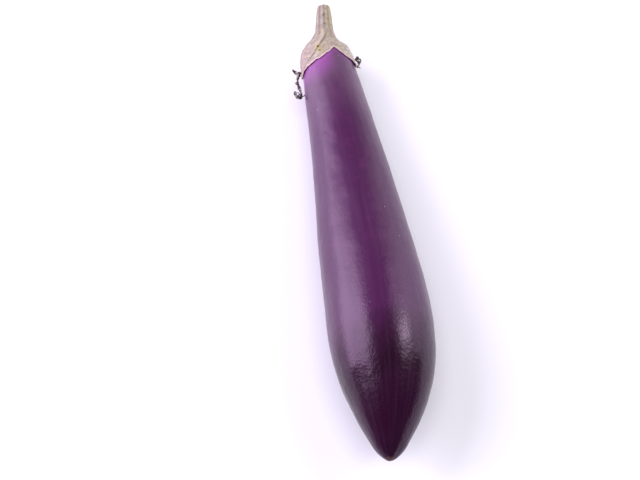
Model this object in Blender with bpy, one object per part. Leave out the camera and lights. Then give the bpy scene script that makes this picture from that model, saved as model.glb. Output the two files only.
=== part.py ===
"""A long purple eggplant, lying on its side: the fruit, the calyx that caps its shoulder with five
lobes, the stem it was cut by, and the withered tip that each lobe still carries.

Metres, +Z up. The fruit lies along Y with its stem towards +Y, and rests on a small flat spot.
Places along it are given by their reach: the distance from the stem's foot towards the blossom end.
Azimuths go round it, in degrees: 0 is the top of the lying fruit and 90 is the +X side.
"""

import math

import bmesh
import bpy
from mathutils import Vector

MM = 0.001

# The whole eggplant
FRUIT_END = 227.5 * MM  # reach of the blossom end
STEM_LENGTH = 18.5 * MM
BOW = [(0, 0.7), (4, 0.1), (8, -0.3), (13, -0.3), (19, 0.1), (28, 0.6), (42, 1.2), (76, 3.1),
       (112, 4.1), (152, 5.3), (192, 4.1), (228, 0.0)]  # (reach, the middle's shift towards +X)
REST_TILT = math.radians(4.1)  # the slim stem end lies lower than the belly
GAP = 0.3 * MM  # between pieces that touch

# The fruit: (reach, radius) of the body, which the two end caps round off
FRUIT_START = 3.2 * MM
BODY = [(0, 12.2), (12, 12.3), (20, 13.1), (32, 14.4), (62, 16.8), (92, 19.8), (122, 22.6),
        (147, 24.3), (162, 24.8), (177, 23.9), (192, 20.7), (207, 15.0), (219, 8.6), (228, 4.0)]
SHOULDER_CAP = 13.0 * MM
BLOSSOM_CAP = 7.0 * MM
FRUIT_SIDES = 40
FRUIT_RINGS = 34
PRESSED = 0.4 * MM  # depth that the belly is flattened by its own weight

# The calyx: (reach, radius) of its outside; the rim's notches between lobes, as (azimuth, reach); and
# each lobe's tip after its notch, as (azimuth, reach, azimuth where its midrib leaves the stem)
DOME = [(0, 5.1), (1.5, 5.8), (3.3, 6.9), (5, 8.1), (7, 9.8), (9.4, 11.7), (12, 12.8), (16, 13.4),
        (22, 14.2), (28, 15.0)]
NOTCHES = [(17, 15.0), (112, 15.0), (168, 15.5), (216, 16.5), (254, 17.5)]
LOBES = [(76, 21.8, 64), (140, 22.0, 139), (196, 22.5, 211), (236, 23.0, 283), (272, 22.6, 355)]
LOBE_FULLNESS = 3.3  # the higher, the broader a lobe stays until close to its tip
LOBE_POINT = 0.12  # share of a lobe's depth that is its narrow point
MIDRIB_TURN = 3.0  # over 1, the midribs start straight and turn sideways near the rim
RIM_THINNING = 0.1 * MM
MIDRIB_HEIGHT = 0.4 * MM
MIDRIB_HALF_ANGLE = 9.0
STEPS_PER_HALF_LOBE = 7
CALYX_ROWS = 8

# The stem: (distance above its foot, radius), ribbed like the calyx below it
STEM = [(0, 5.15), (1.5, 4.85), (3.5, 4.65), (9, 4.15), (13.5, 3.75), (16, 3.5), (18.5, 3.1)]
STEM_LEAN = 1.9 * MM  # towards +X, by its end
STEM_RIB_SHARE = 0.05
STEM_SIDES = 30
STEM_RINGS = 9
STEM_END_ROUNDING = 1.0 * MM

# The withered tips: name, the index of the lobe, and the route of the dry thread in mm, as
# (past the lobe's tip, out from the fruit, sideways round the fruit)
WITHERED_TIPS = [
    ("withered_tip_right", 0, [(-3.0, 2.5, 0.8), (-1.7, 2.8, 0.2), (-0.1, 2.4, -0.2), (1.1, 1.3, -0.2),
                               (2.0, 1.3, 0.5), (2.3, 2.5, 1.0)]),
    ("withered_tip_lower_right", 1, [(0.9, 1.0, 0), (2.4, 1.2, -0.4), (4.0, 1.9, -1.4), (4.9, 3.0, -2.0),
                                     (4.2, 3.9, -2.1)]),
    ("withered_tip_under", 2, [(0.9, 1.0, 0), (2.6, 1.0, 0.6), (4.2, 1.0, 1.9), (4.4, 1.0, 3.5)]),
    ("withered_tip_lower_left", 3, [(0.9, 1.0, 0), (2.8, 1.2, 0.3), (4.6, 1.9, 1.0), (5.0, 3.2, 1.9),
                                    (3.9, 3.8, 2.3)]),
    ("withered_tip_left", 4, [(-6.0, 6.2, 0.6), (-4.5, 5.2, 0.2), (-2.6, 3.4, 0), (-0.6, 2.6, 0),
                              (2.4, 2.9, 0.2), (4.8, 2.7, 0.2), (7.4, 2.1, -0.3), (9.4, 1.9, -0.4),
                              (10.8, 2.6, -0.2), (10.8, 4.2, 0), (9.6, 5.4, 0.4), (8.2, 5.8, 0.6)]),
]
TIP_THICKNESS = 0.6 * MM
TIP_END_SHARE = 0.5  # both ends of a thread are this share of its middle
TIP_POINTS_PER_STOP = 3

SKIN = ("fruit_skin", (0.085, 0.022, 0.080), 0.28)
CALYX_GREY = ("calyx", (0.62, 0.50, 0.44), 0.75)
STEM_BUFF = ("stem", (0.55, 0.45, 0.35), 0.80)
WITHERED = ("withered_tip", (0.060, 0.040, 0.036), 0.90)


def smooth_through(stations, at):
    """The value at a place, on a curve that passes smoothly through every (place, value) station."""
    last = len(stations) - 1

    def slope(i):
        low, high = max(i - 1, 0), min(i + 1, last)
        return (stations[high][1] - stations[low][1]) / (stations[high][0] - stations[low][0])

    span = next((i for i in range(last) if at <= stations[i + 1][0]), last - 1)
    (start, first), (end, second) = stations[span], stations[span + 1]
    width = end - start
    t = (at - start) / width
    return ((2 * t**3 - 3 * t**2 + 1) * first + (t**3 - 2 * t**2 + t) * width * slope(span)
            + (3 * t**2 - 2 * t**3) * second + (t**3 - t**2) * width * slope(span + 1))


def radius_from(stations, place):
    """A radius in metres, from stations in millimetres."""
    return smooth_through(stations, place / MM) * MM


def centre_at(reach):
    """The middle of the eggplant at a reach. Negative reaches run up the stem."""
    sideways = smooth_through(BOW, max(reach, 0) / MM) * MM
    sideways += STEM_LEAN * max(-reach, 0) / STEM_LENGTH
    return Vector((sideways, -reach * math.cos(REST_TILT), reach * math.sin(REST_TILT)))


def around(reach, azimuth, radius):
    """A point at a radius from the middle line, square to that line."""
    step = 0.5 * MM
    side = 0.0 if abs(reach) < step else step
    along = (centre_at(reach + step) - centre_at(reach - side)).normalized()
    right = along.cross(Vector((0, 0, 1))).normalized() * -1
    up = along.cross(right).normalized()
    turn = math.radians(azimuth)
    return centre_at(reach) + (right * math.sin(turn) + up * math.cos(turn)) * radius


def fruit_radius(reach):
    radius = radius_from(BODY, reach)
    into_shoulder = (FRUIT_START + SHOULDER_CAP - reach) / SHOULDER_CAP
    into_blossom = (reach - FRUIT_END + BLOSSOM_CAP) / BLOSSOM_CAP
    for share in (into_shoulder, into_blossom):
        radius *= math.sqrt(max(0.0, 1 - max(0.0, share) ** 2))
    return radius


def just_off_the_fruit(reach):
    """(reach, radius) of the point a gap outside the fruit, measured square to its outline."""
    step = 0.02 * MM
    rise = (fruit_radius(reach + step) - fruit_radius(reach)) / step
    steepness = math.hypot(1, rise)
    return reach - GAP * rise / steepness, fruit_radius(reach) + GAP / steepness


def rim_corners():
    """(azimuth, reach) of every notch and lobe tip in turn, from the first notch round to it again."""
    corners = []
    for notch, lobe in zip(NOTCHES, LOBES):
        corners += [notch, lobe[:2]]
    first_azimuth, first_reach = NOTCHES[0]
    return corners + [(first_azimuth + 360, first_reach)]


def rim_stations():
    """(azimuth, reach in metres) all along the rim, with one on every corner."""
    stations = []
    corners = rim_corners()
    for i, (start, end) in enumerate(zip(corners, corners[1:])):
        for step in range(STEPS_PER_HALF_LOBE):
            share = step / STEPS_PER_HALF_LOBE
            # Even corners are notches, so the way into a lobe counts from whichever end is the notch
            notch, lobe, inwards = (start, end, share) if i % 2 == 0 else (end, start, 1 - share)
            broad = (1 - LOBE_POINT) * (1 - (1 - inwards) ** LOBE_FULLNESS)
            depth = broad + LOBE_POINT * inwards**8
            azimuth = start[0] + (end[0] - start[0]) * share
            stations.append((azimuth, (notch[1] + (lobe[1] - notch[1]) * depth) * MM))
    return stations


def midrib_height(azimuth, reach):
    """How far the nearest lobe's midrib stands up. The midribs fade out towards the tips."""
    height = 0.0
    for tip_azimuth, tip_reach, root in LOBES:
        share = min(1.0, reach / (tip_reach * MM))
        midrib = root + (tip_azimuth - root) * share**MIDRIB_TURN
        away = abs((azimuth - midrib + 180) % 360 - 180)
        height += MIDRIB_HEIGHT * math.exp(-((away / MIDRIB_HALF_ANGLE) ** 2)) * (1 - share**2)
    return height


def calyx_point(azimuth, rim, share, outside):
    """A point of the calyx on the way from the stem, share 0, to the rim, share 1."""
    if outside:
        reach = rim * share
        radius = radius_from(DOME, reach) - RIM_THINNING * share**4 + midrib_height(azimuth, reach)
    else:
        reach, radius = just_off_the_fruit(FRUIT_START + (rim - FRUIT_START) * share**2)
    return around(reach, azimuth, radius)


def piece_from_rings(name, rings, finish, start_point=None, end_point=None):
    """A closed solid skinned over rings of points. Each end closes in a point, or else flat."""
    mesh = bmesh.new()
    loops = [[mesh.verts.new(point) for point in ring] for ring in rings]
    count = len(loops[0])
    for first, second in zip(loops, loops[1:]):
        for i in range(count):
            j = (i + 1) % count
            mesh.faces.new((first[i], first[j], second[j], second[i]))
    for loop, point in ((loops[0], start_point), (loops[-1], end_point)):
        if point is None:
            mesh.faces.new(loop)
            continue
        pole = mesh.verts.new(point)
        for i in range(count):
            mesh.faces.new((loop[i], loop[(i + 1) % count], pole))
    bmesh.ops.recalc_face_normals(mesh, faces=mesh.faces)
    return finished(name, mesh, finish)


def finished(name, mesh, finish):
    data = bpy.data.meshes.new(name)
    mesh.to_mesh(data)
    mesh.free()
    data.shade_smooth()
    data.set_sharp_from_angle(angle=math.radians(40))
    piece = bpy.data.objects.new(name, data)
    bpy.context.scene.collection.objects.link(piece)
    data.materials.append(material(*finish))
    return piece


def material(name, colour, roughness):
    made = bpy.data.materials.get(name)
    if made is None:
        made = bpy.data.materials.new(name)
        made.use_nodes = True
        shader = made.node_tree.nodes["Principled BSDF"]
        shader.inputs["Base Color"].default_value = (*colour, 1)
        shader.inputs["Roughness"].default_value = roughness
        shader.inputs["Metallic"].default_value = 0.0
    return made


def circle_of_azimuths(count):
    return [360 * i / count for i in range(count)]


def build_fruit():
    """The berry: one grown body, flattened a little where it lies."""
    span = FRUIT_END - FRUIT_START
    # Rings crowd towards both ends, where the outline turns fastest
    shares = [0.5 - 0.5 * math.cos(math.pi * i / (FRUIT_RINGS + 1)) for i in range(1, FRUIT_RINGS + 1)]
    rings = []
    for share in shares:
        reach = FRUIT_START + span * share
        radius = fruit_radius(reach)
        rings.append([around(reach, azimuth, radius) for azimuth in circle_of_azimuths(FRUIT_SIDES)])
    fruit = piece_from_rings("fruit", rings, SKIN, centre_at(FRUIT_START), centre_at(FRUIT_END))

    mesh = bmesh.new()
    mesh.from_mesh(fruit.data)
    floor = min(vertex.co.z for vertex in mesh.verts) + PRESSED
    everything = mesh.verts[:] + mesh.edges[:] + mesh.faces[:]
    cut = bmesh.ops.bisect_plane(mesh, geom=everything, plane_co=(0, 0, floor), plane_no=(0, 0, 1),
                                 clear_inner=True)
    edges = [item for item in cut["geom_cut"] if isinstance(item, bmesh.types.BMEdge)]
    bmesh.ops.contextual_create(mesh, geom=edges)
    bmesh.ops.recalc_face_normals(mesh, faces=mesh.faces)
    mesh.to_mesh(fruit.data)
    mesh.free()
    return fruit


def build_calyx():
    """The cap of five fused lobes: a curved wall over the fruit's shoulder, solid under the stem."""
    stations = rim_stations()
    shares = [row / CALYX_ROWS for row in range(CALYX_ROWS + 1)]
    rings = [[calyx_point(*station, share, True) for station in stations] for share in shares]
    rings += [[calyx_point(*station, share, False) for station in stations] for share in shares[:0:-1]]
    return piece_from_rings("calyx", rings, CALYX_GREY, None, centre_at(FRUIT_START - GAP))


def build_stem():
    """The ribbed stalk, from its foot on the calyx to the end where it was cut."""
    ribs = len(LOBES)
    heights = [GAP + (STEM_LENGTH - STEM_END_ROUNDING - GAP) * i / (STEM_RINGS - 1)
               for i in range(STEM_RINGS)]
    rounding = [(height, 1.0) for height in heights]
    rounding.append((STEM_LENGTH - 0.3 * STEM_END_ROUNDING, 0.9))
    rounding.append((STEM_LENGTH, 0.7))
    rings = []
    for height, share in rounding:
        ring = []
        for azimuth in circle_of_azimuths(STEM_SIDES):
            ribbed = 1 + STEM_RIB_SHARE * math.cos(math.radians(ribs * (azimuth - LOBES[0][2])))
            radius = radius_from(STEM, height) * share * ribbed
            ring.append(around(-height, azimuth, radius))
        rings.append(ring)
    return piece_from_rings("stem", rings, STEM_BUFF)


def thread_path(lobe, route):
    """Points of a dry thread, on a smooth curve through the places of its route."""
    azimuth, reach, _ = LOBES[lobe]
    path = []
    for i in range((len(route) - 1) * TIP_POINTS_PER_STOP + 1):
        place = i / TIP_POINTS_PER_STOP
        past, out, sideways = [smooth_through([(k, stop[axis]) for k, stop in enumerate(route)], place) * MM
                               for axis in range(3)]
        at = reach * MM + past
        radius = fruit_radius(at) + out
        path.append(around(at, azimuth + math.degrees(sideways / radius), radius))
    return path


def build_withered_tip(name, lobe, route):
    """The dry, curled thread that is left of the end of one calyx lobe."""
    path = thread_path(lobe, route)
    curve = bpy.data.curves.new(name, "CURVE")
    curve.dimensions = "3D"
    curve.bevel_depth = TIP_THICKNESS
    curve.bevel_resolution = 1
    curve.use_fill_caps = True
    spline = curve.splines.new("POLY")
    spline.points.add(len(path) - 1)
    for i, (point, place) in enumerate(zip(spline.points, path)):
        point.co = (*place, 1)
        middle = math.sin(math.pi * i / (len(path) - 1))
        point.radius = TIP_END_SHARE + (1 - TIP_END_SHARE) * middle
    tip = bpy.data.objects.new(name, curve)
    bpy.context.scene.collection.objects.link(tip)
    curve.materials.append(material(*WITHERED))
    return tip


def lay_down(pieces):
    """Parents every piece to one empty, whose place puts the origin under the middle of the box."""
    graph = bpy.context.evaluated_depsgraph_get()
    points = []
    for piece in pieces:
        points += [vertex.co.copy() for vertex in piece.evaluated_get(graph).to_mesh().vertices]
    low = [min(point[axis] for point in points) for axis in range(3)]
    high = [max(point[axis] for point in points) for axis in range(3)]
    lying = bpy.data.objects.new("lying_place", None)
    bpy.context.scene.collection.objects.link(lying)
    lying.location = (-(low[0] + high[0]) / 2, -(low[1] + high[1]) / 2, -low[2])
    for piece in pieces:
        piece.parent = lying


def main():
    for leftover in list(bpy.data.objects):
        bpy.data.objects.remove(leftover)
    pieces = [build_fruit(), build_calyx(), build_stem()]
    pieces += [build_withered_tip(*tip) for tip in WITHERED_TIPS]
    lay_down(pieces)


main()
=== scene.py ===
# A long purple eggplant, lying on its belly on a pale floor in soft studio light
import math

import bpy
import numpy as np
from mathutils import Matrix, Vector, noise


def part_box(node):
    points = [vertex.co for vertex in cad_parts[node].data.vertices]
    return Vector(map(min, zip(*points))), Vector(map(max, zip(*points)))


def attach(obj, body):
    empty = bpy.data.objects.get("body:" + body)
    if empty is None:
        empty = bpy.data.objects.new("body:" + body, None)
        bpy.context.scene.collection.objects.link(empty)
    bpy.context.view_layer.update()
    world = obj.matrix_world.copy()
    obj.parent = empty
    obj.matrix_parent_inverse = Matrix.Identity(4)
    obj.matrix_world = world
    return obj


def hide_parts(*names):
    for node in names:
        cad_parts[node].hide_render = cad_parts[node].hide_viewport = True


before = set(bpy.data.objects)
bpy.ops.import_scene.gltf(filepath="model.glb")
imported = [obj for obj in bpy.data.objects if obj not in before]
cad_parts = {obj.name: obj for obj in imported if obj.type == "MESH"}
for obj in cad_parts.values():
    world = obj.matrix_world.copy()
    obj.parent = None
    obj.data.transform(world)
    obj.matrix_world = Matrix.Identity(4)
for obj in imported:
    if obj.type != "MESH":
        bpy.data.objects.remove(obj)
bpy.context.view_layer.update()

# ---------------------------------------------------------------------------------------------------
# The fruit: one grown berry with a taut, waxy skin. It swells towards its pointed blossom end, bows to
# one side, and is pressed a little flat where it lies. Nothing holds it but the calyx over its shoulder.
# ---------------------------------------------------------------------------------------------------

MM = 0.001
FRUIT_START = 3.2  # reaches, in mm from the stem's foot towards the blossom end
FRUIT_END = 227.5
INSET = 0.02  # the blossom end stays this far inside the box of the CAD's fruit
STEM_LENGTH = 18.5
STEM_LEAN = 1.9
REST_TILT = math.radians(4.1)
# The bow is (reach, how far the middle line lies sideways), and the body is (reach, radius)
BOW = [(0, 0.7), (4, 0.1), (8, -0.3), (13, -0.3), (19, 0.1), (28, 0.6), (42, 1.2), (76, 3.1),
       (112, 4.1), (152, 5.3), (192, 4.1), (228, 0.0)]
BODY = [(0, 12.2), (12, 12.3), (20, 13.1), (32, 14.4), (62, 16.8), (92, 19.8), (122, 22.6),
        (147, 24.3), (162, 24.8), (177, 23.9), (192, 20.7), (207, 15.0), (219, 8.6), (228, 4.0)]
SHOULDER_CAP = 13.0
BLOSSOM_CAP = 7.0
FRUIT_RINGS = 400
FRUIT_SIDES = 240
HOLLOWS, FLUTES = 0.75, 0.4  # depths


def smooth(stations, at):
    """Values at an array of places, on a curve that passes smoothly through every (place, value)."""
    places, values = np.array(stations, float).T
    last = len(places) - 1
    low, high = np.maximum(np.arange(last + 1) - 1, 0), np.minimum(np.arange(last + 1) + 1, last)
    slopes = (values[high] - values[low]) / (places[high] - places[low])
    span = np.clip(np.searchsorted(places, at) - 1, 0, last - 1)
    width = places[span + 1] - places[span]
    t = (at - places[span]) / width
    return ((2 * t**3 - 3 * t**2 + 1) * values[span] + (t**3 - 2 * t**2 + t) * width * slopes[span]
            + (3 * t**2 - 2 * t**3) * values[span + 1] + (t**3 - t**2) * width * slopes[span + 1])


def body_radius(reach):
    """Radius of the fruit in mm, rounded off over the shoulder and the blossom end."""
    shoulder = np.clip((FRUIT_START + SHOULDER_CAP - reach) / SHOULDER_CAP, 0, 1)
    blossom = np.clip((reach - FRUIT_END + BLOSSOM_CAP) / BLOSSOM_CAP, 0, 1)
    return smooth(BODY, reach) * np.sqrt(1 - shoulder**2) * np.sqrt(1 - blossom**2)


def from_foot(reach):
    """The middle line, in mm from the stem's foot. Negative reaches run up the stem."""
    reach = np.asarray(reach, float)
    sideways = smooth(BOW, np.maximum(reach, 0)) + STEM_LEAN * np.maximum(-reach, 0) / STEM_LENGTH
    return np.stack([sideways, -reach * math.cos(REST_TILT), reach * math.sin(REST_TILT)], -1)


def stem_foot():
    """Where the stem's foot is in the frame, from the box of the fruit that hangs on it."""
    low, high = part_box("fruit")
    reach = np.linspace(FRUIT_START, FRUIT_END, 500)
    middle, radius = from_foot(reach), body_radius(reach)
    across = ((middle[:, 0] + radius).max() + (middle[:, 0] - radius).min()) / 2
    top = (middle[:, 2] + radius * math.cos(REST_TILT)).max()
    forward = middle[-1, 1] - INSET
    return np.array([(low.x + high.x) / 2 - across * MM, low.y - forward * MM, high.z - top * MM])


FOOT = stem_foot()


def middle_at(reach):
    """Points of the middle line in the frame."""
    return FOOT + from_foot(reach) * MM


def around(reach, azimuth, radius):
    """Points at a radius from the middle line. Azimuth 0 is on top and 90 on the +X side."""
    ahead = from_foot(reach + 0.5) - from_foot(reach - 0.5)
    ahead /= np.linalg.norm(ahead, axis=-1, keepdims=True)
    right = np.cross([0, 0, 1], ahead)
    right /= np.linalg.norm(right, axis=-1, keepdims=True)
    up = np.cross(ahead, right)
    turn = np.radians(azimuth)[..., None]
    out = right * np.sin(turn) + up * np.cos(turn)
    return middle_at(reach) + out * np.asarray(radius)[..., None] * MM


class Wire:
    """An output in a node tree. Arithmetic on wires adds Math nodes, and node() adds any other."""

    def __init__(self, tree, socket=None):
        self.tree, self.socket = tree, socket

    def node(self, kind, settings=None, sockets=None, output=0):
        made = self.tree.nodes.new(kind)
        for name, value in (settings or {}).items():
            if name == "stops":
                ramp = made.color_ramp
                while len(ramp.elements) < len(value):
                    ramp.elements.new(1)
                for element, (position, colour) in zip(ramp.elements, value):
                    element.position, element.color = position, (*colour, 1)
            else:
                setattr(made, name, value)
        for name, value in (sockets or {}).items():
            socket = made.inputs[name] if isinstance(name, int) else next(
                s for s in made.inputs if s.name == name and s.enabled)
            if isinstance(value, Wire):
                self.tree.links.new(value.socket, socket)
            elif socket.type == "RGBA":
                socket.default_value = (*value, 1)
            else:
                socket.default_value = value
        found = made.outputs[output] if isinstance(output, int) else next(
            s for s in made.outputs if s.name == output and s.enabled)
        return Wire(self.tree, found)

    def maths(self, operation, *values):
        if any(isinstance(v, tuple) or isinstance(v, Wire) and v.socket.type == "VECTOR" for v in values):
            values = [(v,) * 3 if isinstance(v, (int, float)) else v for v in values]
            return self.node("ShaderNodeVectorMath", {"operation": operation}, dict(enumerate(values)))
        return self.node("ShaderNodeMath", {"operation": operation}, dict(enumerate(values)))

    def __add__(self, other): return self.maths("ADD", self, other)
    def __radd__(self, other): return self.maths("ADD", other, self)
    def __sub__(self, other): return self.maths("SUBTRACT", self, other)
    def __rsub__(self, other): return self.maths("SUBTRACT", other, self)
    def __mul__(self, other): return self.maths("MULTIPLY", self, other)
    def __rmul__(self, other): return self.maths("MULTIPLY", other, self)
    def __truediv__(self, other): return self.maths("DIVIDE", self, other)
    def __rtruediv__(self, other): return self.maths("DIVIDE", other, self)
    def __pow__(self, other): return self.maths("POWER", self, other)

    def rise(self, low, high):
        """0 below low, 1 above high, and a smooth rise between them. It falls where low is the larger."""
        limits = {"Value": self, "From Min": low, "From Max": high}
        return self.node("ShaderNodeMapRange", {"interpolation_type": "SMOOTHSTEP"}, limits)

    def noise(self, scale, detail=2.0, roughness=0.5):
        """Values near 0.5 from a cloud noise over this vector."""
        sockets = {"Vector": self, "Scale": scale, "Detail": detail, "Roughness": roughness}
        return self.node("ShaderNodeTexNoise", {}, sockets)

    def parts(self):
        split = self.node("ShaderNodeSeparateXYZ", {}, {0: self})
        outputs = split.socket.node.outputs
        return [Wire(self.tree, outputs[i]) for i in range(3)]

    def named(self, attribute, output="Vector"):
        """What a shader reads from one of the mesh's named attributes."""
        return self.node("ShaderNodeAttribute", {"attribute_name": attribute}, {}, output)


def blend(first, second, share):
    """The first colour, turning to the second as the share goes from 0 to 1."""
    wire = share if isinstance(share, Wire) else first
    colours = {"Factor": share, "A": first, "B": second}
    return wire.node("ShaderNodeMix", {"data_type": "RGBA"}, colours, "Result")


def growth_tree():
    """Geometry Nodes that sweep a body round a middle line whose points carry its radius."""
    tree = bpy.data.node_groups.new("growth", "GeometryNodeTree")
    for name, kind in (("Middle line", "NodeSocketGeometry"), ("Sides", "NodeSocketInt"),
                       ("Hollows", "NodeSocketFloat"), ("Flutes", "NodeSocketFloat"),
                       ("Ribs", "NodeSocketFloat"), ("Rib depth", "NodeSocketFloat"),
                       ("Floor", "NodeSocketFloat"), ("Skin", "NodeSocketMaterial")):
        tree.interface.new_socket(name, in_out="INPUT", socket_type=kind)
    tree.interface.new_socket("Body", in_out="OUTPUT", socket_type="NodeSocketGeometry")
    given = {s.name: Wire(tree, s) for s in tree.nodes.new("NodeGroupInput").outputs}
    start = Wire(tree)
    position = start.node("GeometryNodeInputPosition")
    share = start.node("GeometryNodeSplineParameter", {}, {}, "Factor")

    line = given["Middle line"]
    for name, kind, value in (("middle", "FLOAT_VECTOR", position), ("along", "FLOAT", share)):
        line = start.node("GeometryNodeStoreNamedAttribute", {"data_type": kind, "domain": "POINT"},
                          {"Geometry": line, "Name": name, "Value": value})
    circle = start.node("GeometryNodeCurvePrimitiveCircle", {"mode": "RADIUS"},
                        {"Resolution": given["Sides"], "Radius": 1.0})
    body = start.node("GeometryNodeCurveToMesh", {}, {
        "Curve": line, "Profile Curve": circle, "Scale": start.node("GeometryNodeInputRadius")})
    body = start.node("GeometryNodeMergeByDistance", {}, {"Geometry": body, "Distance": 0.01 * MM})

    middle, along = (
        start.node("GeometryNodeInputNamedAttribute", {"data_type": kind}, {"Name": name}, "Attribute")
        for name, kind in (("middle", "FLOAT_VECTOR"), ("along", "FLOAT")))
    from_middle = position - middle
    out = start.node("ShaderNodeVectorMath", {"operation": "NORMALIZE"}, {0: from_middle})
    distance = start.node("ShaderNodeVectorMath", {"operation": "LENGTH"}, {0: from_middle}, "Value")
    side, _, up = out.parts()
    place = start.node("ShaderNodeCombineXYZ", {}, {0: side, 1: up, 2: along})
    body = start.node("GeometryNodeStoreNamedAttribute", {"data_type": "FLOAT_VECTOR", "domain": "POINT"},
                      {"Geometry": body, "Name": "place", "Value": place})

    hollows = place * (1.0, 1.0, 9.0)
    flutes = place * (1.6, 1.6, 2.5)
    azimuth = side.maths("ARCTAN2", side, up)
    ribs = azimuth.maths("COSINE", azimuth * given["Ribs"])
    dents = given["Hollows"] * (hollows.noise(1.4, 2.0) - 0.6)
    grooves = given["Flutes"] * (flutes.noise(1.5, 1.0) - 0.6)
    height = dents + grooves + given["Rib depth"] * ribs
    body = start.node("GeometryNodeSetPosition", {}, {
        "Geometry": body, "Offset": out * (height * distance.rise(0.0, 2 * MM))})
    x, y, z = position.parts()
    resting = start.node("ShaderNodeCombineXYZ", {}, {0: x, 1: y, 2: z.maths("MAXIMUM", z, given["Floor"])})
    body = start.node("GeometryNodeSetPosition", {}, {"Geometry": body, "Position": resting})
    body = start.node("GeometryNodeSetShadeSmooth", {}, {"Geometry": body})
    body = start.node("GeometryNodeRealizeInstances", {}, {"Geometry": body})
    body = start.node("GeometryNodeSetMaterial", {}, {"Geometry": body, "Material": given["Skin"]})
    tree.links.new(body.socket, tree.nodes.new("NodeGroupOutput").inputs["Body"])
    return tree


GROWTH = growth_tree()


def made_by(tree, name, lines, inputs):
    """A plain mesh from a node tree run on a curve with one spline for each list of (point, radius)."""
    curve = bpy.data.curves.new(name, "CURVE")
    curve.dimensions = "3D"
    curve.twist_mode = "Z_UP"
    for line in lines:
        spline = curve.splines.new("POLY")
        spline.points.add(len(line) - 1)
        for point, (place, radius) in zip(spline.points, line):
            point.co = (*place, 1)
            point.radius = radius
    guide = bpy.data.objects.new(name + "_guide", curve)
    bpy.context.scene.collection.objects.link(guide)
    modifier = guide.modifiers.new(name, "NODES")
    modifier.node_group = tree
    for socket in tree.interface.items_tree:
        if socket.in_out == "INPUT" and socket.name in inputs:
            modifier[socket.identifier] = inputs[socket.name]
    graph = bpy.context.evaluated_depsgraph_get()
    mesh = bpy.data.meshes.new_from_object(guide.evaluated_get(graph), depsgraph=graph)
    mesh.name = name
    piece = bpy.data.objects.new(name, mesh)
    bpy.context.scene.collection.objects.link(piece)
    bpy.data.objects.remove(guide)
    return piece


def painted(name, numbers, paint):
    """A Principled material: plain numbers for its even sockets, and paint's wires for the others."""
    made = bpy.data.materials.new(name)
    made.use_nodes = True
    shader = made.node_tree.nodes["Principled BSDF"]
    for socket, value in numbers.items():
        shader.inputs[socket].default_value = value
    for socket, wire in paint(Wire(made.node_tree)).items():
        made.node_tree.links.new(wire.socket, shader.inputs[socket])
    return made


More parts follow.
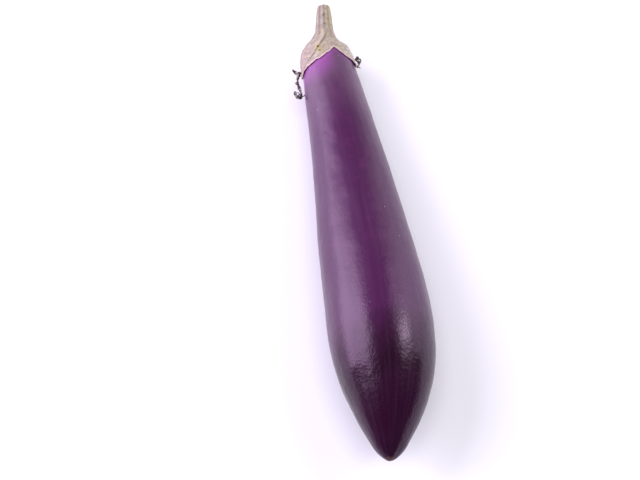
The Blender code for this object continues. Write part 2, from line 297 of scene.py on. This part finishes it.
def paint_skin(start):
    """Magenta under the calyx, mauve along the body and near black at the blossom end, finely pebbled. The
    lighter, more magenta left flank is painted light, the grey haze near the calyx is partly a painted
    reflection, and the near black band is partly painted shade.
    """
    place = start.named("place")
    side, _, along = place.parts()
    below_rim = start.named("below_rim", "Fac")
    objects = start.node("ShaderNodeTexCoord", {}, {}, "Object")

    streaks = (place * (1.0, 1.0, 0.35)).noise(9.0, 3.0, 0.6)
    clouds = (place * (1.0, 1.0, 7.0)).noise(1.3, 3.0, 0.6)
    # 1 on the -X flank, which faces the strong left softbox. This is painted light: it paints that flank a
    # lighter mauve and keeps it out of the dark band for longer.
    painted_left_light = side.rise(0.35, -0.75)
    shift = along + (clouds - 0.5) * 0.16 + (streaks - 0.5) * 0.10 - 0.04 * painted_left_light
    # The ramp drops to near black where the body narrows towards the blossom end. This is partly the fruit's
    # own deeper tone and partly painted shade, where the skin turns away from the lights.
    lengthwise = start.node("ShaderNodeValToRGB", {"stops": [
        (0.00, (0.060, 0.0130, 0.060)), (0.30, (0.054, 0.0100, 0.053)), (0.69, (0.056, 0.0090, 0.054)),
        (0.76, (0.026, 0.0026, 0.022)), (0.81, (0.014, 0.0008, 0.009)), (0.87, (0.020, 0.0012, 0.015)),
        (1.00, (0.022, 0.0030, 0.018))]}, {0: shift})
    mauve = blend(lengthwise, (0.085, 0.022, 0.090), painted_left_light * along.rise(0.85, 0.05) * 0.5)
    # A greyish haze near the calyx. It is partly the skin's wax bloom and partly a painted reflection.
    bloom_and_sheen = blend(mauve, (0.135, 0.072, 0.130), below_rim.rise(46.0, 2.0) * clouds.rise(0.2, 0.6) * 0.75)
    streaked = blend(bloom_and_sheen, (0.110, 0.050, 0.105), streaks.rise(0.45, 0.80) * (0.22 - 0.12 * along))
    blush = (place * (2.2, 2.2, 22.0)).noise(1.6, 3.0, 0.6).rise(0.52, 0.72) * along.rise(0.75, 0.35)
    flushed = blend(streaked, (0.110, 0.018, 0.095), blush * 0.35)
    # Magenta near the calyx. The thin ring just under the rim, all round, is the skin's own colour where the
    # calyx covered it. The wider patch reaching 15 mm down on the -X flank only is partly that colour and
    # partly painted light from the left softbox.
    calyx_ring_and_left_light = below_rim.rise(15.0, 0.0) * side.rise(0.45, -0.25) + below_rim.rise(2.2, 0.2) * 0.5
    magenta = blend(flushed, (0.270, 0.075, 0.285), calyx_ring_and_left_light * 0.8)
    dots, chosen = (start.node("ShaderNodeTexVoronoi", {}, {"Vector": objects, "Scale": 210.0}, output)
                    for output in ("Distance", "Color"))
    few = chosen.parts()[0].rise(0.90, 0.93)
    specked = blend(magenta, (0.42, 0.30, 0.42), dots.rise(0.085, 0.04) * few * 0.55)
    scar = blend(specked, (0.070, 0.030, 0.026), along.rise(0.9935, 0.9965))

    pebbles = objects.noise(850.0, 1.0) + 0.6 * objects.noise(420.0, 0.0)
    glossy = along.rise(0.45, 0.75)
    relief = start.node("ShaderNodeBump", {}, {
        "Strength": 0.5, "Distance": 0.2 * MM, "Height": pebbles * (0.60 + 0.40 * glossy)}, "Normal")
    glossier = along.rise(0.70, 0.80)
    gloss = 0.37 - 0.07 * glossy - 0.03 * glossier + 0.1 * (clouds - 0.5) + 0.1 * (streaks - 0.5)
    coat = 0.2 - 0.16 * glossier
    return {"Base Color": scar, "Roughness": gloss, "Coat Weight": coat, "Normal": relief}


def build_fruit():
    """The skin as one closed surface, with its rings crowded together near both poles."""
    span = FRUIT_END - FRUIT_START
    crowded = 0.5 - 0.5 * np.cos(np.linspace(0, math.pi, FRUIT_RINGS))
    even = np.linspace(0, 1, FRUIT_RINGS)
    reach = FRUIT_START + span * (0.6 * crowded + 0.4 * even)
    radius = np.maximum(body_radius(reach), 0.002)
    skin = painted("fruit_skin", {"IOR": 1.42, "Specular Tint": (0.99, 0.76, 1.0, 1.0),
                                  "Coat Roughness": 0.28, "Coat IOR": 1.42}, paint_skin)
    inputs = {"Sides": FRUIT_SIDES, "Hollows": HOLLOWS * MM, "Flutes": FLUTES * MM, "Ribs": 0.0,
              "Rib depth": 0.0, "Floor": 0.0, "Skin": skin}
    return made_by(GROWTH, "eggplant_fruit", [list(zip(middle_at(reach), radius * MM))], inputs)


fruit = build_fruit()
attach(fruit, "root")
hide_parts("fruit")

# ---------------------------------------------------------------------------------------------------
# The calyx: a leathery cap of five fused lobes, dried to a pinkish grey. Each lobe has a raised midrib,
# and its thin edge stands just off the fruit. It grows from the stem's foot and grips the shoulder.
# ---------------------------------------------------------------------------------------------------

# The outside is (reach, radius), a notch is (azimuth, reach), and a lobe is (its tip's azimuth, its tip's
# reach, the azimuth of its midrib's root)
OUTSIDE = [(-3, 4.75), (-1.5, 4.95), (0, 5.2), (1.5, 5.75), (3.3, 6.8), (5, 8.0), (7, 9.65), (9.4, 11.5),
           (12, 12.6), (16, 13.35), (22, 14.2), (28, 15.0)]
NOTCHES = [(17, 14.8), (112, 15.0), (168, 15.5), (216, 16.5), (254, 17.5)]
LOBES = [(76, 21.8, 64), (140, 22.0, 139), (196, 22.5, 211), (236, 23.0, 283), (272, 22.6, 355)]
LOBE_FULLNESS = 3.3
LOBE_POINT = 0.12
MIDRIB_TURN = 3.0
MIDRIB_HEIGHT, MIDRIB_WIDTH = 0.62, 1.2
CREASE_DEPTH, CREASE_WIDTH, CREASE_ASIDE = 0.35, 0.36, 1.15
FURROWS, FURROW_DEPTH = 11, 0.14
RIM_LIFT, RIM_THINNING = 0.22, 0.18
GAP = 0.15  # between the calyx and the skin under it
STEPS_PER_HALF_LOBE = 48
OUTER_ROWS = 84
INNER_ROWS = 12
EDGE_ROWS = 4
COLLAR = -2.6
# A brown spot is (azimuth, reach, size)
SPOTS = [(-17.5, 13.2, 0.8), (-15.5, 15.7, 0.7), (-38, 9.0, 0.3), (148, 12.0, 0.9), (232, 15.0, 0.7)]


def rim_stations():
    """Azimuth and reach all along the rim, notch to lobe tip to notch."""
    corners = [corner for notch, lobe in zip(NOTCHES, LOBES) for corner in (notch, lobe[:2])]
    corners.append((NOTCHES[0][0] + 360, NOTCHES[0][1]))
    share = np.arange(STEPS_PER_HALF_LOBE) / STEPS_PER_HALF_LOBE
    azimuths, reaches = [], []
    for i, (start, end) in enumerate(zip(corners, corners[1:])):
        notch, lobe, inwards = (start, end, share) if i % 2 == 0 else (end, start, 1 - share)
        depth = (1 - LOBE_POINT) * (1 - (1 - inwards) ** LOBE_FULLNESS) + LOBE_POINT * inwards**8
        azimuths.append(start[0] + (end[0] - start[0]) * share)
        reaches.append(notch[1] + (lobe[1] - notch[1]) * depth)
    azimuth, reach = np.concatenate(azimuths), np.concatenate(reaches)
    wave = 0.30 * np.sin(np.radians(azimuth * 9 + 40)) * np.sin(np.radians(azimuth * 4))
    ripple = 0.22 * np.sin(np.radians(azimuth * 23)) * np.sin(np.radians(azimuth * 6 + 70))
    return azimuth, reach + wave + ripple


def turned_from(azimuth, other):
    """How many degrees one azimuth lies past another, between -180 and 180."""
    return (azimuth - other + 180) % 360 - 180


def cloud(points, scale, seed=0.0):
    """Noise between -1 and 1 at an array of points."""
    offset = Vector((seed, seed, seed))
    flat = points.reshape(-1, 3)
    values = [noise.noise(Vector(p) * scale + offset) for p in flat]
    return np.array(values).reshape(points.shape[:-1])


def solid_from(name, rings, first, last, skin, attributes):
    """A closed mesh over a grid of points, rings by azimuths, with a pole past each end."""
    rows, count = rings.shape[:2]
    points = np.concatenate([rings.reshape(-1, 3), [first, last]])
    i, j = np.meshgrid(np.arange(rows - 1), np.arange(count), indexing="ij")
    k = (j + 1) % count
    quads = np.stack([i * count + j, i * count + k, (i + 1) * count + k, (i + 1) * count + j], -1)
    around_ring = np.arange(count)
    beyond = (around_ring + 1) % count
    head = np.stack([around_ring, np.full(count, rows * count), beyond], -1)
    end = (rows - 1) * count
    tail = np.stack([end + around_ring, end + beyond, np.full(count, rows * count + 1)], -1)
    mesh = bpy.data.meshes.new(name)
    mesh.from_pydata(points.tolist(), [], quads.reshape(-1, 4).tolist() + head.tolist() + tail.tolist())
    for attribute, values in attributes.items():
        full = np.concatenate([values.ravel(), [values[0].mean(), values[-1].mean()]])
        mesh.attributes.new(attribute, "FLOAT", "POINT").data.foreach_set("value", full.astype(np.float32))
    mesh.shade_smooth()
    mesh.materials.append(skin)
    piece = bpy.data.objects.new(name, mesh)
    bpy.context.scene.collection.objects.link(piece)
    return piece


def veins(azimuth, reach):
    """Height of the midribs in mm, and a mask of the crease that runs beside each one."""
    height, crease = 0.0, 0.0
    for tip_azimuth, tip_reach, root in LOBES:
        share = np.clip(reach / tip_reach, 0, 1)
        tip = root + turned_from(tip_azimuth, root)
        midrib = root + (tip - root) * share**MIDRIB_TURN
        away = np.radians(turned_from(azimuth, midrib)) * smooth(OUTSIDE, reach)
        fade = np.clip(1.15 - share, 0, 1) * np.clip(reach / 2 + 1, 0, 1)
        beside = np.exp(-(((away - CREASE_ASIDE) / CREASE_WIDTH) ** 2))
        height = height + MIDRIB_HEIGHT * np.exp(-((away / MIDRIB_WIDTH) ** 2)) * fade
        crease = crease + beside * np.clip(reach / 5, 0, 1) * (share < 1)
    return height, np.clip(crease, 0, 1)


def paint_calyx(start):
    """Dry beige, olive to one side and pink to the other, mottled, with brown creases that partly carry a
    painted shadow, a cream edge, and an inner face painted dark as a shadow under the rim.
    """
    objects = start.node("ShaderNodeTexCoord", {}, {}, "Object")
    crease = start.named("crease", "Fac")
    edge = start.named("edge", "Fac")
    rib = start.named("rib", "Fac")
    fibres = start.named("fibres", "Fac")
    collar = start.named("collar", "Fac")
    furrow = start.named("furrow", "Fac")
    side = objects.parts()[0] / MM
    patches = objects.noise(260.0, 4.0, 0.6)
    grain = objects.noise(1500.0, 3.0, 0.7)
    blotches = objects.noise(430.0, 3.0, 0.65)
    beige = blend((0.370, 0.300, 0.225), (0.470, 0.415, 0.350), patches.rise(0.38, 0.62))
    pink = blend(beige, (0.430, 0.330, 0.290), (side + (patches - 0.5) * 12.0).rise(-9.0, -14.0) * 0.8)
    olive = blend(pink, (0.420, 0.370, 0.230), (side + (patches - 0.5) * 16.0).rise(-9.0, -4.0) * 0.6)
    pale = blend(olive, (0.680, 0.610, 0.530), side.rise(-2.0, 8.0) * 0.8)
    lilac = blend(pale, (0.320, 0.265, 0.350), blotches.rise(0.48, 0.62) * 0.42)
    light = blend(lilac, (0.620, 0.560, 0.480), blotches.rise(0.45, 0.33) * 0.45)
    stemlike = blend(light, (0.380, 0.320, 0.250), collar * 0.8)
    lined = blend(stemlike, (0.210, 0.150, 0.130), fibres.rise(0.35, 0.8) * 0.4 + furrow * 0.5)
    mottled = blend(lined, (0.230, 0.165, 0.140), grain.rise(0.50, 0.64) * 0.55)
    raised = blend(mottled, (0.520, 0.430, 0.350), rib * 0.5)
    # The crease beside each midrib is painted dark brown. This is partly its own brown and partly a painted
    # shadow cast by the raised midrib.
    creased_and_shadowed = blend(raised, (0.110, 0.060, 0.025), crease * (patches + grain).rise(0.55, 1.00) * 0.95)
    spotted = creased_and_shadowed
    for spot_azimuth, spot_reach, size in SPOTS:
        spot = around(np.array(spot_reach), np.array(spot_azimuth), smooth(OUTSIDE, spot_reach))
        ends = {0: objects, 1: tuple(float(v) for v in spot)}
        away = start.node("ShaderNodeVectorMath", {"operation": "DISTANCE"}, ends, "Value") / MM
        ragged = away + (grain - 0.5) * 1.5
        yellowed = blend(spotted, (0.400, 0.330, 0.120), away.rise(3.4 * size, 0.8 * size) * 0.6)
        spotted = blend(yellowed, (0.080, 0.035, 0.010), ragged.rise(1.1 * size, 0.5 * size) * 0.9)
    edged = blend(spotted, (0.620, 0.460, 0.430), edge.rise(0.9, 0.35) * 0.85)
    # The inner face under the rim is painted dark maroon. This is a painted shadow, so that a dark line shows
    # beneath the cream edge.
    rim = blend(edged, (0.110, 0.030, 0.045), edge.rise(-0.02, -0.15))
    height = patches * 0.6 + grain * 0.4 + objects.noise(520.0, 2.0) * 0.8
    relief = start.node("ShaderNodeBump", {}, {
        "Strength": 0.7, "Distance": 0.3 * MM, "Height": height}, "Normal")
    return {"Base Color": rim, "Roughness": 0.55 + 0.3 * grain, "Normal": relief}


def build_calyx():
    """The outer face from the collar to the rim, the rounded edge, and the inner face back to the middle."""
    azimuth, rim = rim_stations()
    share = np.linspace(0, 1, OUTER_ROWS)[:, None] ** 0.9
    azimuths = np.broadcast_to(azimuth, (OUTER_ROWS, len(azimuth)))
    reach = COLLAR + (rim - COLLAR) * share
    radius = smooth(OUTSIDE, reach)
    height, crease = veins(azimuths, reach)
    to_rim = rim - reach
    base = around(reach, azimuths, radius)
    turn = np.radians(azimuths)
    across = np.stack([np.sin(turn), np.cos(turn), 0.06 * reach], -1) * np.stack([radius * MM] * 3, -1)
    fibres = np.abs(cloud(across, 520.0, 3.0)) * 2.2
    wrinkles = 0.14 * cloud(base, 420.0) + 0.08 * cloud(base, 1100.0, 5.0) - 0.16 * np.clip(1 - fibres, 0, 1)
    wrinkles *= np.clip(reach / 3 + 1.0, 0, 1)
    lift = RIM_LIFT * np.exp(-to_rim / 1.6) * (1 + 0.8 * cloud(base, 260.0, 9.0))
    thinning = RIM_THINNING * np.exp(-to_rim / 2.5)
    collar = np.clip(1 - reach / 6, 0, 1)
    furrow = collar * np.clip(np.cos(FURROWS * turn + 2 * cloud(base, 200.0, 2.0)) * 0.8 + 0.2, 0, 1)
    outer_radius = (radius + height + wrinkles - CREASE_DEPTH * crease + lift - thinning
                    - FURROW_DEPTH * furrow)
    outer = around(reach, azimuths, outer_radius)

    under_rim = body_radius(rim) + GAP + lift[-1]
    thickness = outer_radius[-1] - under_rim
    half_turn = np.linspace(0, math.pi, EDGE_ROWS + 2)[1:-1, None]
    edge_reach = rim + 0.5 * thickness * np.sin(half_turn)
    edge_radius = under_rim + thickness * (0.5 + 0.5 * np.cos(half_turn))
    edge = around(edge_reach, np.broadcast_to(azimuth, edge_reach.shape), edge_radius)

    back = np.linspace(0, 1, INNER_ROWS)[:, None]
    inner_reach = rim + (FRUIT_START + 0.05 - rim) * back
    inner_radius = body_radius(inner_reach) + GAP + lift[-1] * np.clip(1 - back * 5, 0, 1)
    inner = around(inner_reach, np.broadcast_to(azimuth, inner_reach.shape), inner_radius)

    def column(values, edge_value=0.0, inner_value=0.0):
        ends = np.full(edge.shape[:2], edge_value), np.full(inner.shape[:2], inner_value)
        return np.concatenate([values, *ends])

    # The inner rows get an edge value of -0.2, which paint_calyx turns into the painted shadow under the rim.
    attributes = {"crease": column(crease), "rib": column(np.clip(height * 2, 0, 1)),
                  "edge": column(to_rim, 0.0, -0.2), "fibres": column(np.clip(1 - fibres, 0, 1)),
                  "collar": column(collar), "furrow": column(furrow)}
    skin = painted("calyx", {"IOR": 1.4}, paint_calyx)
    rings = np.concatenate([outer, edge, inner])
    return solid_from("eggplant_calyx", rings, middle_at(COLLAR), middle_at(FRUIT_START), skin, attributes)


def mark_rim_on(body):
    """Stores on the fruit how far below the calyx's rim, in mm, each point of its skin lies."""
    azimuth, rim = rim_stations()
    points = np.array([v.co for v in body.data.vertices])
    reach = (FOOT[1] - points[:, 1]) / MM / math.cos(REST_TILT)
    away = points - middle_at(reach)
    at = np.degrees(np.arctan2(away[:, 0], away[:, 2]))
    at = (at - azimuth[0]) % 360 + azimuth[0]
    below = (reach - np.interp(at, azimuth, rim, period=360)).astype(np.float32)
    body.data.attributes.new("below_rim", "FLOAT", "POINT").data.foreach_set("value", below)


calyx = build_calyx()
mark_rim_on(fruit)
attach(calyx, "root")
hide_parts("calyx")

# ---------------------------------------------------------------------------------------------------
# The stem: a short ribbed stalk, woody and dry, that flares into the calyx. It was cut straight across
# with shears, and the cut has shrunk and browned.
# ---------------------------------------------------------------------------------------------------

# The stalk is (height above the stem's foot, radius)
STALK = [(-6.0, 3.6), (-3.0, 4.6), (0, 5.05), (1.5, 4.9), (3.5, 4.68), (9, 4.2), (13.5, 3.85), (16, 3.6),
         (18.5, 3.3)]
STEM_ROUNDING = 2.0
STEM_RINGS = 120
STEM_SIDES = 160
STEM_RIBS, RIB_DEPTH = 7.0, 0.14
STEM_HOLLOWS, STEM_FLUTES = 0.25, 0.5
STEM_ROOT = -6.0  # the stem's lower end, inside the calyx
ROOT_ROUNDING = 1.0


def paint_stem(start):
    """Woody grey, olive to one side, with dark furrows, small brown spots and a browned cut end."""
    objects = start.node("ShaderNodeTexCoord", {}, {}, "Object")
    place = start.named("place")
    side, up, along = place.parts()
    fibres = (place * (1.0, 1.0, 0.03)).noise(5.0, 3.0, 0.65)
    patches = objects.noise(260.0, 4.0, 0.6)
    grain = objects.noise(1500.0, 3.0, 0.7)
    grey = blend((0.310, 0.250, 0.220), (0.400, 0.340, 0.310), patches.rise(0.35, 0.65))
    olive = blend(grey, (0.440, 0.390, 0.235), (side + (patches - 0.5) * 1.6).rise(-0.25, 0.5) * 0.75)
    azimuth = side.maths("ARCTAN2", side, up)
    furrows = azimuth.maths("COSINE", azimuth * float(FURROWS) + (fibres - 0.5) * 9.0)
    grooved = blend(olive, (0.210, 0.150, 0.130), (furrows * 0.5 + fibres).rise(0.55, 0.95) * 0.65)
    mottled = blend(grooved, (0.270, 0.195, 0.165), grain.rise(0.53, 0.72) * 0.4)
    spots = blend(mottled, (0.110, 0.055, 0.020), objects.noise(700.0, 0.0).rise(0.70, 0.76) * 0.8)
    cut = blend(spots, (0.300, 0.170, 0.120), (along + (grain - 0.5) * 0.04).rise(0.94, 0.975) * 0.9)
    height = grain * 0.5 - furrows * 0.5
    relief = start.node("ShaderNodeBump", {}, {
        "Strength": 0.7, "Distance": 0.3 * MM, "Height": height}, "Normal")
    return {"Base Color": cut, "Roughness": 0.6 + 0.25 * grain, "Normal": relief}


def build_stem():
    """The stalk from inside the calyx's collar up to its cut end, with the edge of the cut rounded."""
    height = np.linspace(STEM_ROOT, STEM_LENGTH, STEM_RINGS)
    crowded = STEM_LENGTH - STEM_ROUNDING * np.linspace(0.12, 0, 8) ** 2
    height = np.sort(np.concatenate([height[:-1], crowded]))
    end = np.clip((height - STEM_LENGTH + STEM_ROUNDING) / STEM_ROUNDING, 0, 1)
    start = np.clip((STEM_ROOT + ROOT_ROUNDING - height) / ROOT_ROUNDING, 0, 1)
    radius = np.maximum(smooth(STALK, height) * np.sqrt(1 - end**3) * np.sqrt(1 - start**2), 0.002)
    bark = painted("stem", {"IOR": 1.4}, paint_stem)
    inputs = {"Sides": STEM_SIDES, "Hollows": STEM_HOLLOWS * MM, "Flutes": STEM_FLUTES * MM,
              "Ribs": STEM_RIBS, "Rib depth": RIB_DEPTH * MM, "Floor": 0.0, "Skin": bark}
    return made_by(GROWTH, "eggplant_stem", [list(zip(middle_at(-height), radius * MM))], inputs)


stem = build_stem()
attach(stem, "root")
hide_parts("stem")

# ---------------------------------------------------------------------------------------------------
# The withered tips: the thin end of each calyx lobe has died back to dark, twisted threads that curl
# away from the fruit. They are paper-dry, and stay joined to the lobe's edge.
# ---------------------------------------------------------------------------------------------------

# A tip is (its CAD node, its lobe, its threads), and a thread is (thickness, its places). A place is in mm:
# (past the lobe's tip, out from the fruit, sideways round it)
WITHERED = [
    ("withered_tip_right", 0, [
        (0.90, [(-3.4, 1.5, 0.3), (-2.0, 2.2, 0.0), (-0.6, 2.4, -0.3), (0.6, 1.9, -0.3), (1.3, 1.0, 0.2),
                (0.7, 1.1, 0.9), (-0.4, 1.9, 1.2), (-1.2, 2.6, 0.9)]),
        (0.65, [(-1.8, 1.6, 0.2), (-3.0, 2.7, 0.5), (-4.2, 2.7, 0.8), (-4.8, 1.9, 0.9)]),
        (0.55, [(-0.4, 2.3, 0), (-1.2, 3.4, 0.4), (-2.4, 3.6, 0.6), (-3.0, 2.9, 0.3)]),
        (0.36, [(0.4, 1.4, 0), (1.6, 1.6, 0.6), (2.2, 2.6, 0.9)])]),
    ("withered_tip_lower_right", 1, [
        (0.55, [(-2.0, 1.0, 0), (0.9, 1.0, 0), (2.4, 1.2, -0.4), (4.0, 1.9, -1.4), (4.9, 3.0, -2.0),
                (4.2, 3.9, -2.1)]),
        (0.36, [(1.4, 1.1, 0), (2.6, 1.6, 0.7), (3.2, 2.6, 1.3)])]),
    ("withered_tip_under", 2, [
        (0.5, [(-2.0, 1.0, 0), (0.9, 1.0, 0), (2.6, 1.0, 0.6), (4.2, 1.0, 1.9), (4.4, 1.0, 3.5)])]),
    ("withered_tip_lower_left", 3, [
        (0.55, [(-2.0, 1.0, 0), (0.9, 1.0, 0), (2.8, 1.2, 0.3), (4.6, 1.9, 1.0), (5.0, 3.2, 1.9),
                (3.9, 3.8, 2.3)]),
        (0.34, [(2.6, 1.3, 0.3), (3.6, 1.2, -0.6), (5.0, 1.3, -0.9)])]),
    ("withered_tip_left", 4, [
        (1.05, [(-3.4, 1.4, 0.2), (-1.8, 2.2, 0), (-0.4, 2.8, 0), (1.2, 2.9, 0.1), (2.9, 3.0, 0.2),
                (4.0, 3.2, 0.1)]),
        (0.95, [(2.2, 3.6, 0.5), (3.4, 3.0, 0.4), (5.2, 2.5, 0.2), (7.4, 1.9, -0.3), (9.4, 1.7, -0.4),
                (10.8, 1.9, -0.3), (11.2, 3.0, -0.1), (10.8, 4.1, 0), (9.9, 4.7, 0.3), (8.8, 5.0, 0.5),
                (8.0, 4.8, 0.8), (8.3, 4.1, 0.9)]),
        (1.15, [(-1.2, 2.0, 0.1), (-2.4, 2.6, 0.2), (-3.8, 3.8, 0.4), (-5.0, 4.7, 0.5), (-6.0, 5.2, 0.6)]),
        (0.50, [(8.2, 1.8, -0.4), (9.2, 2.8, -1.0), (10.6, 2.9, -1.3), (11.3, 1.8, -1.0), (10.6, 1.1, -0.6)]),
        (0.36, [(10.4, 3.3, 0), (9.2, 4.3, 0.6), (8.6, 3.6, 1.0), (9.4, 2.9, 1.0)])]),
]
POINTS_PER_STOP = 10
THREAD_SIDES, THREAD_FLATNESS = 12, 0.62
THREAD_TWIST = 900.0  # radians per metre
SHRIVEL = 0.5


def thread_tree():
    """Geometry Nodes that sweep a flat, twisted and shrivelled thread along each line."""
    tree = bpy.data.node_groups.new("dry_thread", "GeometryNodeTree")
    for name, kind in (("Lines", "NodeSocketGeometry"), ("Sides", "NodeSocketInt"),
                       ("Flatness", "NodeSocketFloat"), ("Twist", "NodeSocketFloat"),
                       ("Shrivel", "NodeSocketFloat"), ("Skin", "NodeSocketMaterial")):
        tree.interface.new_socket(name, in_out="INPUT", socket_type=kind)
    tree.interface.new_socket("Threads", in_out="OUTPUT", socket_type="NodeSocketGeometry")
    given = {s.name: Wire(tree, s) for s in tree.nodes.new("NodeGroupInput").outputs}
    start = Wire(tree)
    length = start.node("GeometryNodeSplineParameter", {}, {}, "Length")
    lines = start.node("GeometryNodeSetCurveTilt", {}, {0: given["Lines"], "Tilt": length * given["Twist"]})
    circle = start.node("GeometryNodeCurvePrimitiveCircle", {"mode": "RADIUS"},
                        {"Resolution": given["Sides"], "Radius": 1.0})
    scale = start.node("ShaderNodeCombineXYZ", {}, {0: 1.0, 1: given["Flatness"], 2: 1.0})
    ribbon = start.node("GeometryNodeTransform", {}, {"Geometry": circle, "Scale": scale})
    threads = start.node("GeometryNodeCurveToMesh", {}, {
        "Curve": lines, "Profile Curve": ribbon, "Scale": start.node("GeometryNodeInputRadius"),
        "Fill Caps": True})
    position = start.node("GeometryNodeInputPosition")
    cloud_sockets = {"Vector": position, "Scale": 900.0, "Detail": 2.0}
    bumps = start.node("ShaderNodeTexNoise", {}, cloud_sockets, "Color")
    threads = start.node("GeometryNodeSetPosition", {}, {
        "Geometry": threads, "Offset": bumps.maths("SUBTRACT", bumps, (0.5, 0.5, 0.5)) * given["Shrivel"]})
    threads = start.node("GeometryNodeSetShadeSmooth", {}, {"Geometry": threads})
    threads = start.node("GeometryNodeRealizeInstances", {}, {"Geometry": threads})
    threads = start.node("GeometryNodeSetMaterial", {}, {"Geometry": threads, "Material": given["Skin"]})
    tree.links.new(threads.socket, tree.nodes.new("NodeGroupOutput").inputs["Threads"])
    return tree


def paint_withered(start):
    """Nearly black, with ashen patches."""
    objects = start.node("ShaderNodeTexCoord", {}, {}, "Object")
    patches = objects.noise(420.0, 3.0, 0.6)
    dark = blend((0.018, 0.010, 0.012), (0.085, 0.050, 0.040), patches.rise(0.35, 0.6))
    ashen = blend(dark, (0.42, 0.38, 0.37), patches.rise(0.50, 0.60) * 0.85)
    relief = start.node("ShaderNodeBump", {}, {
        "Strength": 0.7, "Distance": 0.2 * MM, "Height": objects.noise(1800.0, 3.0)}, "Normal")
    return {"Base Color": ashen, "Roughness": 0.6 + 0.3 * patches, "Normal": relief}


THREAD = thread_tree()
dry = painted("withered_tip", {"IOR": 1.4}, paint_withered)


def thread_line(lobe, thickness, route):
    """Points and radii of one thread, which thins towards its free end."""
    azimuth, tip_reach, _ = LOBES[lobe]
    stops = np.arange(len(route))
    at = np.linspace(0, stops[-1], (len(route) - 1) * POINTS_PER_STOP + 1)
    past, out, sideways = (smooth(list(zip(stops, column)), at) for column in np.array(route).T)
    reach = tip_reach + past
    radius = body_radius(reach) + out
    points = around(reach, azimuth + np.degrees(sideways / radius), radius)
    share = at / stops[-1]
    thick = thickness * (1 - 0.6 * share) * np.sqrt(np.clip((1 - share) * 12, 0, 1)) + 0.02
    return list(zip(points, thick * MM))


for node, lobe, threads in WITHERED:
    lines = [thread_line(lobe, thickness, route) for thickness, route in threads]
    inputs = {"Sides": THREAD_SIDES, "Flatness": THREAD_FLATNESS, "Twist": THREAD_TWIST,
              "Shrivel": SHRIVEL * MM, "Skin": dry}
    tip = made_by(THREAD, "eggplant_" + node, lines, inputs)
    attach(tip, "root")
    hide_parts(node)

# ---------------------------------------------------------------------------------------------------
# The studio: a plain pale floor, two broad soft lights that face each other across the eggplant, a small
# lamp on its right, a weak light above, and the camera, which looks steeply down along the fruit.
# ---------------------------------------------------------------------------------------------------

FLOOR_SIZE = 6.0
ROOM_COLOUR = (0.85, 0.83, 1.0)
ROOM_STRENGTH = 0.12
# A light is (name, place, size, power, colour, whether it shows in the skin's gloss)
LIGHTS = [("left_softbox", (-1.05, 0.40, 0.66), (1.0, 1.45), 28.0, (0.91, 0.85, 1.0), True),
          ("right_panel", (1.05, 0.40, 0.66), (1.0, 1.45), 9.5, (0.95, 0.93, 1.0), True),
          ("right_lamp", (0.72, 0.15, 0.72), (0.12, 0.40), 2.3, (1.0, 0.96, 1.0), True),
          ("top_fill", (0.0, -0.2, 1.8), (1.2, 1.2), 16.0, (1.0, 0.99, 1.0), False)]
AIM = Vector((0, 0, 0.02))
CAMERA_AZIMUTH = math.radians(-7.45)
CAMERA_ELEVATION = math.radians(67)
CAMERA_DISTANCE = 0.80
CAMERA_LENS = 94.2
BESIDE_AIM = (-0.0203, -0.0108)  # how far right of the aim and above it the camera's axis passes


def paint_floor(start):
    """Off-white, a little uneven."""
    objects = start.node("ShaderNodeTexCoord", {}, {}, "Object")
    return {"Base Color": blend((0.89, 0.88, 0.95), (0.92, 0.91, 0.96), objects.noise(3.0, 2.0))}


def build_floor():
    """One flat square, level with the ground."""
    mesh = bpy.data.meshes.new("floor")
    half = FLOOR_SIZE / 2
    corners = [(-half, -half, 0), (half, -half, 0), (half, half, 0), (-half, half, 0)]
    mesh.from_pydata(corners, [], [(0, 1, 2, 3)])
    floor = bpy.data.objects.new("floor", mesh)
    bpy.context.scene.collection.objects.link(floor)
    mesh.materials.append(painted("floor", {"Roughness": 0.6, "Specular IOR Level": 0.3}, paint_floor))
    return floor


def build_lights():
    """The lights, all turned to the eggplant, and a dim room round them."""
    for name, place, (width, height), power, colour, glossy in LIGHTS:
        light = bpy.data.lights.new(name, "AREA")
        light.shape, light.size, light.size_y = "RECTANGLE", width, height
        light.energy, light.color = power, colour
        lamp = bpy.data.objects.new(name, light)
        lamp.location = place
        lamp.visible_glossy = glossy
        lamp.rotation_euler = (AIM - Vector(place)).to_track_quat("-Z", "Y").to_euler()
        bpy.context.scene.collection.objects.link(lamp)
    world = bpy.data.worlds.new("room")
    world.use_nodes = True
    background = world.node_tree.nodes["Background"]
    background.inputs["Color"].default_value = (*ROOM_COLOUR, 1)
    background.inputs["Strength"].default_value = ROOM_STRENGTH
    bpy.context.scene.world = world
    bpy.context.scene.view_settings.view_transform = "Standard"


def build_camera():
    """The camera at the set angles, moved aside without turning."""
    back = Vector((math.sin(CAMERA_AZIMUTH) * math.cos(CAMERA_ELEVATION),
                   -math.cos(CAMERA_AZIMUTH) * math.cos(CAMERA_ELEVATION), math.sin(CAMERA_ELEVATION)))
    right = Vector((0, 0, 1)).cross(back).normalized()
    above = back.cross(right)
    lens = bpy.data.cameras.new("camera")
    lens.lens, lens.clip_start = CAMERA_LENS, 0.01
    camera = bpy.data.objects.new("camera", lens)
    camera.location = AIM + back * CAMERA_DISTANCE + right * BESIDE_AIM[0] + above * BESIDE_AIM[1]
    camera.rotation_euler = back.to_track_quat("Z", "Y").to_euler()
    bpy.context.scene.collection.objects.link(camera)
    bpy.context.scene.camera = camera


build_floor()
build_lights()
build_camera()
